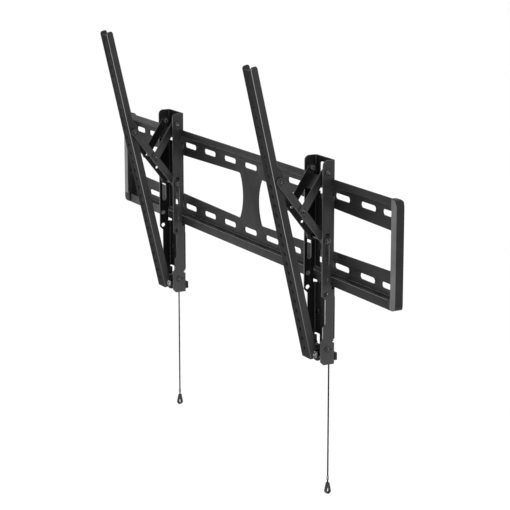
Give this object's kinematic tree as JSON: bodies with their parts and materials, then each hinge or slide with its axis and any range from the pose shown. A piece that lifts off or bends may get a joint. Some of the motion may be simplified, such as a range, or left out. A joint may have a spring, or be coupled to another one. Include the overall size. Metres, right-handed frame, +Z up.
{
  "type": "tilting television wall bracket",
  "caption": "Slotted wall plate with sliding hook-on arms whose rails tilt on folded links and let go of the plate when a cord is pulled.",
  "frame": {"origin": "centre of the wall plate's back face, on the wall", "axes": "+X along the plate to the right as seen from the room, +Y into the wall, +Z up"},
  "size_m": [0.864, 0.1354, 0.6296],
  "materials": {
    "black_steel": "satin",
    "dark_steel": "satin",
    "bright_steel": "satin",
    "grey_plastic": "matte",
    "black_plastic": "matte",
    "nylon": "matte",
    "black_rubber": "matte",
    "grey_cord": "matte"
  },
  "bodies": {
    "wall_side": {"wall_plate": "black_steel", "left_end_cap": "grey_plastic", "right_end_cap": "grey_plastic"},
    "left_arm": {"left_arm_channel": "black_steel", "left_arm_pivot_pin": "dark_steel", "left_arm_top_pin_left": "dark_steel", "left_arm_top_pin_right": "dark_steel", "left_arm_top_spacer_left": "nylon", "left_arm_top_spacer_right": "nylon", "left_arm_pivot_spacer_left": "nylon", "left_arm_pivot_spacer_right": "nylon", "left_arm_guide_rivet_left": "dark_steel", "left_arm_guide_rivet_right": "dark_steel", "left_arm_bumper_left": "black_rubber", "left_arm_bumper_right": "black_rubber", "left_arm_latch_spring": "bright_steel"},
    "left_rail": {"left_arm_tv_rail": "black_steel"},
    "left_short_link": {"left_arm_short_link": "black_steel"},
    "left_long_link": {"left_arm_long_link": "black_steel", "left_arm_slider_pin": "dark_steel", "left_arm_rail_pin": "dark_steel", "left_arm_middle_eyelet_left": "dark_steel", "left_arm_middle_eyelet_right": "dark_steel", "left_arm_slider_roller_left": "nylon", "left_arm_slider_roller_right": "nylon", "left_arm_rail_washer_left": "nylon", "left_arm_rail_washer_right": "nylon"},
    "left_latch": {"left_arm_latch_plate": "black_steel", "left_arm_cord": "grey_cord", "left_arm_cord_crimp": "bright_steel", "left_arm_pull_tag": "black_plastic"},
    "right_arm": {"right_arm_channel": "black_steel", "right_arm_pivot_pin": "dark_steel", "right_arm_top_pin_left": "dark_steel", "right_arm_top_pin_right": "dark_steel", "right_arm_top_spacer_left": "nylon", "right_arm_top_spacer_right": "nylon", "right_arm_pivot_spacer_left": "nylon", "right_arm_pivot_spacer_right": "nylon", "right_arm_guide_rivet_left": "dark_steel", "right_arm_guide_rivet_right": "dark_steel", "right_arm_bumper_left": "black_rubber", "right_arm_bumper_right": "black_rubber", "right_arm_latch_spring": "bright_steel"},
    "right_rail": {"right_arm_tv_rail": "black_steel"},
    "right_short_link": {"right_arm_short_link": "black_steel"},
    "right_long_link": {"right_arm_long_link": "black_steel", "right_arm_slider_pin": "dark_steel", "right_arm_rail_pin": "dark_steel", "right_arm_middle_eyelet_left": "dark_steel", "right_arm_middle_eyelet_right": "dark_steel", "right_arm_slider_roller_left": "nylon", "right_arm_slider_roller_right": "nylon", "right_arm_rail_washer_left": "nylon", "right_arm_rail_washer_right": "nylon"},
    "right_latch": {"right_arm_latch_plate": "black_steel", "right_arm_cord": "grey_cord", "right_arm_cord_crimp": "bright_steel", "right_arm_pull_tag": "black_plastic"}
  },
  "joints": [
    {"name": "left_arm_slide", "type": "slide", "parent": "wall_side", "child": "left_arm", "axis": [1, 0, 0], "range_m": [-0.145, 0.205]},
    {"name": "left_rail_tilt", "type": "hinge", "parent": "left_arm", "child": "left_rail", "pos_m": [-0.2377, -0.0207, -0.1675], "axis": [1, 0, 0], "range_deg": [-12.99, 0]},
    {"name": "left_short_link_turn", "type": "hinge", "parent": "left_arm", "child": "left_short_link", "pos_m": [-0.2377, -0.0215, 0.086], "axis": [1, 0, 0], "range_deg": [0, 27.6]},
    {"name": "left_long_link_turn", "type": "hinge", "parent": "left_short_link", "child": "left_long_link", "pos_m": [-0.2377, -0.05625, 0.03309], "axis": [1, 0, 0], "range_deg": [-59.4, 0]},
    {"name": "left_latch_pull", "type": "slide", "parent": "left_arm", "child": "left_latch", "axis": [0, 0, 1], "range_m": [-0.012, 0], "stiffness_N_per_m": 500, "springref_m": 0.01, "deforming": ["left_arm_latch_spring"]},
    {"name": "right_arm_slide", "type": "slide", "parent": "wall_side", "child": "right_arm", "axis": [1, 0, 0], "range_m": [-0.205, 0.145]},
    {"name": "right_rail_tilt", "type": "hinge", "parent": "right_arm", "child": "right_rail", "pos_m": [0.2377, -0.0207, -0.1675], "axis": [1, 0, 0], "range_deg": [-12.99, 0]},
    {"name": "right_short_link_turn", "type": "hinge", "parent": "right_arm", "child": "right_short_link", "pos_m": [0.2377, -0.0215, 0.086], "axis": [1, 0, 0], "range_deg": [0, 27.6]},
    {"name": "right_long_link_turn", "type": "hinge", "parent": "right_short_link", "child": "right_long_link", "pos_m": [0.2377, -0.05625, 0.03309], "axis": [1, 0, 0], "range_deg": [-59.4, 0]},
    {"name": "right_latch_pull", "type": "slide", "parent": "right_arm", "child": "right_latch", "axis": [0, 0, 1], "range_m": [-0.012, 0], "stiffness_N_per_m": 500, "springref_m": 0.01, "deforming": ["right_arm_latch_spring"]}
  ],
  "couplings": [
    {"joint": "left_short_link_turn", "follows": "left_rail_tilt", "ratio": -2.1185},
    {"joint": "left_long_link_turn", "follows": "left_rail_tilt", "ratio": 4.5682},
    {"joint": "right_short_link_turn", "follows": "right_rail_tilt", "ratio": -2.1185},
    {"joint": "right_long_link_turn", "follows": "right_rail_tilt", "ratio": 4.5682}
  ]
}
